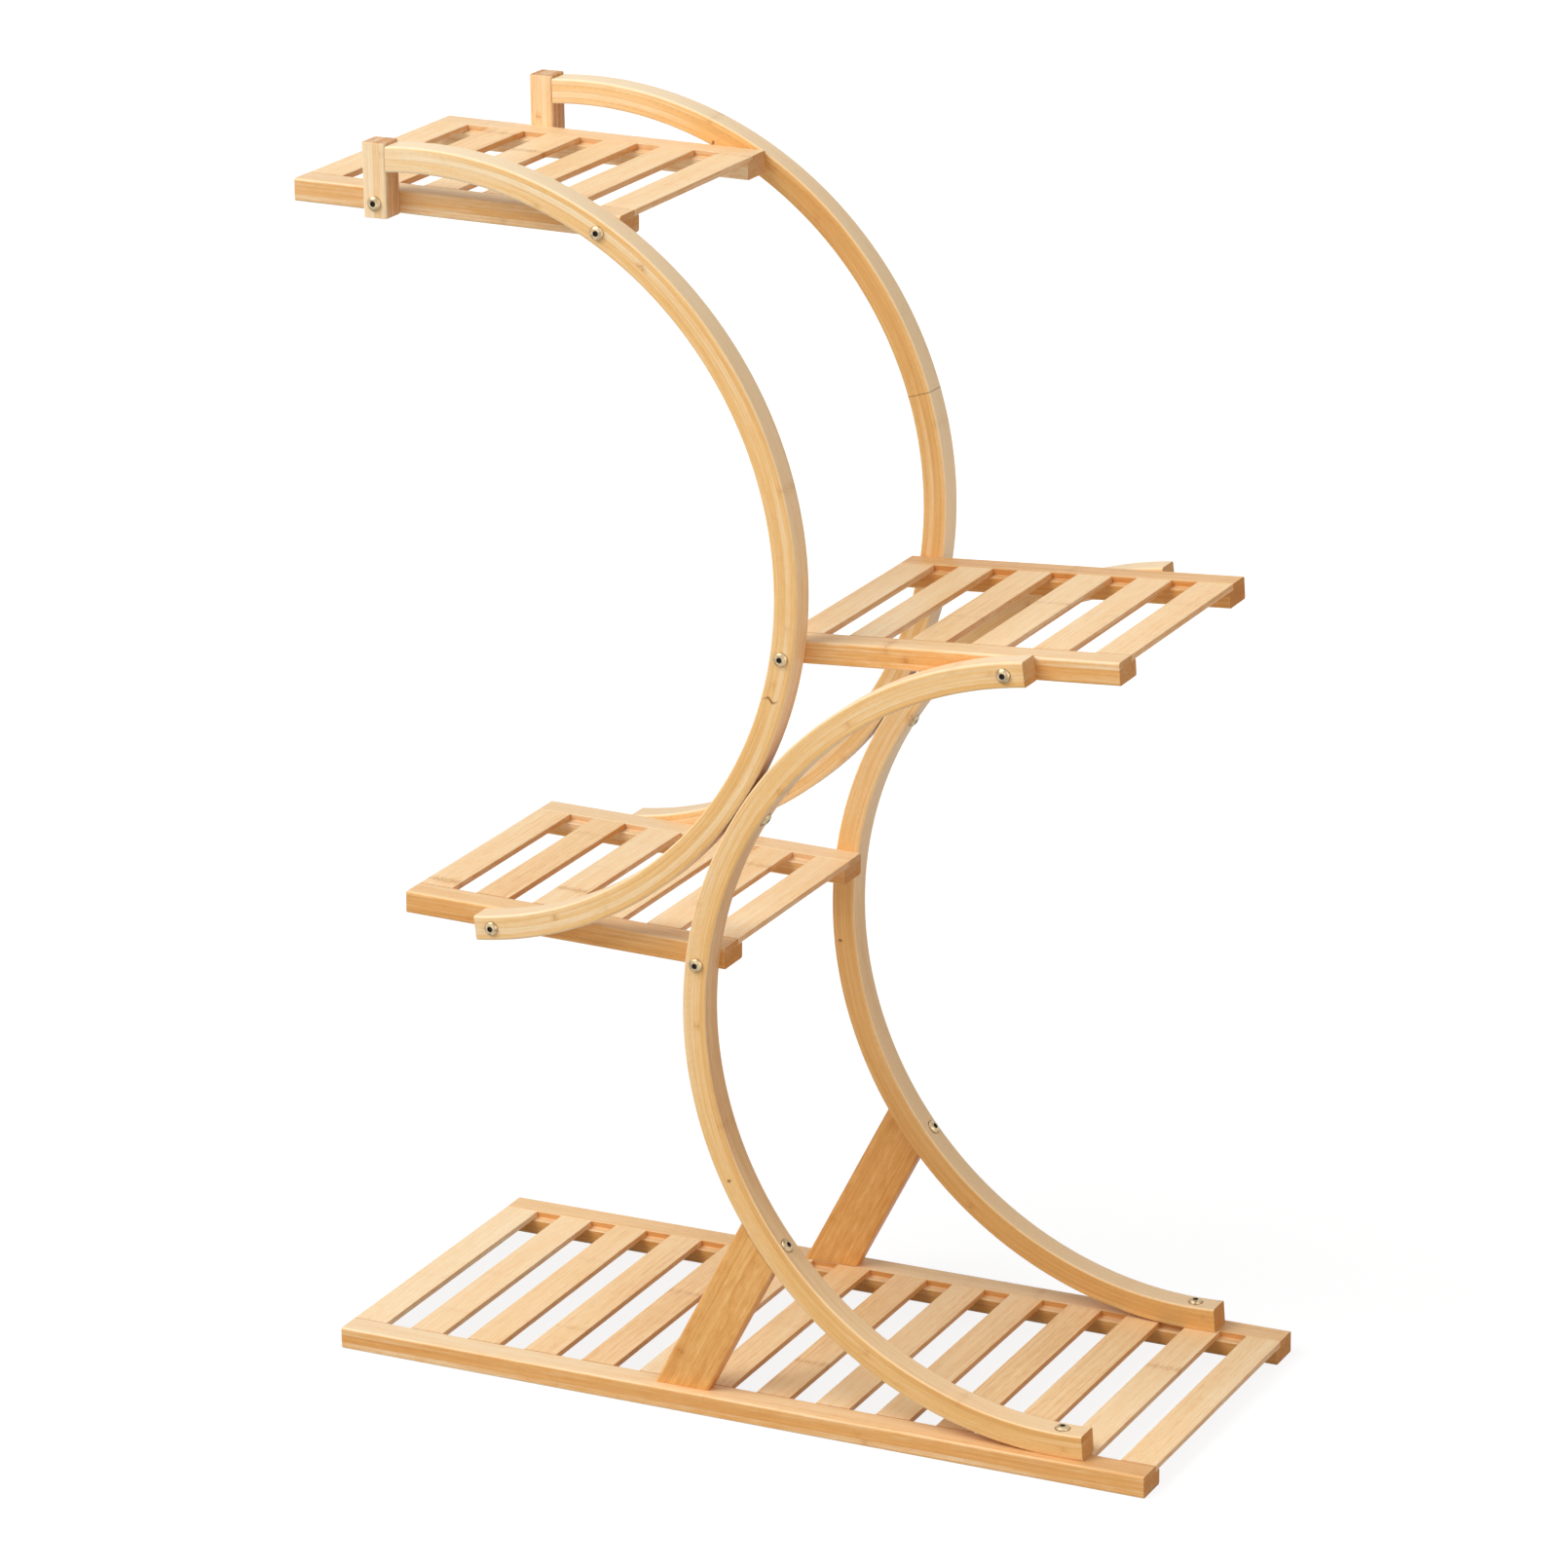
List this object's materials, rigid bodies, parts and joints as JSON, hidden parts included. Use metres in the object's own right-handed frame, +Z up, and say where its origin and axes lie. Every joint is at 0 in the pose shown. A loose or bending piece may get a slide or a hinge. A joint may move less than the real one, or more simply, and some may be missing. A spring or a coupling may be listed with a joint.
{
  "type": "tiered plant stand",
  "caption": "Tiered bamboo plant stand: bent half-circle arcs stand back to back on a long slatted base and carry small slatted shelves on both sides.",
  "frame": {"origin": "centre of the footprint, on the floor", "axes": "+Z up, +X along the base towards the end where the arcs' feet stand, +Y from the front towards the rear"},
  "size_m": [0.7184, 0.305, 0.9937],
  "materials": {
    "bamboo_slats": "satin",
    "bamboo_rails": "satin",
    "bamboo_arcs": "satin",
    "bamboo_posts_and_braces": "satin",
    "dowel_wood": "matte",
    "bolt_steel": "zinc plated",
    "insert_zinc": "plain"
  },
  "bodies": {
    "root": {"arc_joining_bolts": "bolt_steel", "base_front_rail": "bamboo_rails", "base_rear_rail": "bamboo_rails", "base_slat_01": "bamboo_slats", "base_slat_02": "bamboo_slats", "base_slat_03": "bamboo_slats", "base_slat_04": "bamboo_slats", "base_slat_05": "bamboo_slats", "base_slat_06": "bamboo_slats", "base_slat_07": "bamboo_slats", "base_slat_08": "bamboo_slats", "base_slat_09": "bamboo_slats", "base_slat_10": "bamboo_slats", "base_slat_11": "bamboo_slats", "base_slat_12": "bamboo_slats", "base_slat_13": "bamboo_slats", "base_slat_14": "bamboo_slats", "brace_foot_bolts": "bolt_steel", "brace_top_bolts": "bolt_steel", "foot_bolts": "bolt_steel", "front_brace": "bamboo_posts_and_braces", "front_lower_arc": "bamboo_arcs", "front_post": "bamboo_posts_and_braces", "front_upper_arc": "bamboo_arcs", "left_shelf_front_rail": "bamboo_rails", "left_shelf_rear_rail": "bamboo_rails", "left_shelf_slat_1": "bamboo_slats", "left_shelf_slat_2": "bamboo_slats", "left_shelf_slat_3": "bamboo_slats", "left_shelf_slat_4": "bamboo_slats", "left_shelf_slat_5": "bamboo_slats", "left_shelf_slat_6": "bamboo_slats", "post_dowels": "dowel_wood", "rear_brace": "bamboo_posts_and_braces", "rear_lower_arc": "bamboo_arcs", "rear_post": "bamboo_posts_and_braces", "rear_upper_arc": "bamboo_arcs", "right_shelf_front_rail": "bamboo_rails", "right_shelf_rear_rail": "bamboo_rails", "right_shelf_slat_1": "bamboo_slats", "right_shelf_slat_2": "bamboo_slats", "right_shelf_slat_3": "bamboo_slats", "right_shelf_slat_4": "bamboo_slats", "right_shelf_slat_5": "bamboo_slats", "right_shelf_slat_6": "bamboo_slats", "shelf_bolts": "bolt_steel", "threaded_inserts": "insert_zinc", "top_shelf_front_rail": "bamboo_rails", "top_shelf_rear_rail": "bamboo_rails", "top_shelf_slat_1": "bamboo_slats", "top_shelf_slat_2": "bamboo_slats", "top_shelf_slat_3": "bamboo_slats", "top_shelf_slat_4": "bamboo_slats", "top_shelf_slat_5": "bamboo_slats", "top_shelf_slat_6": "bamboo_slats"}
  },
  "joints": []
}
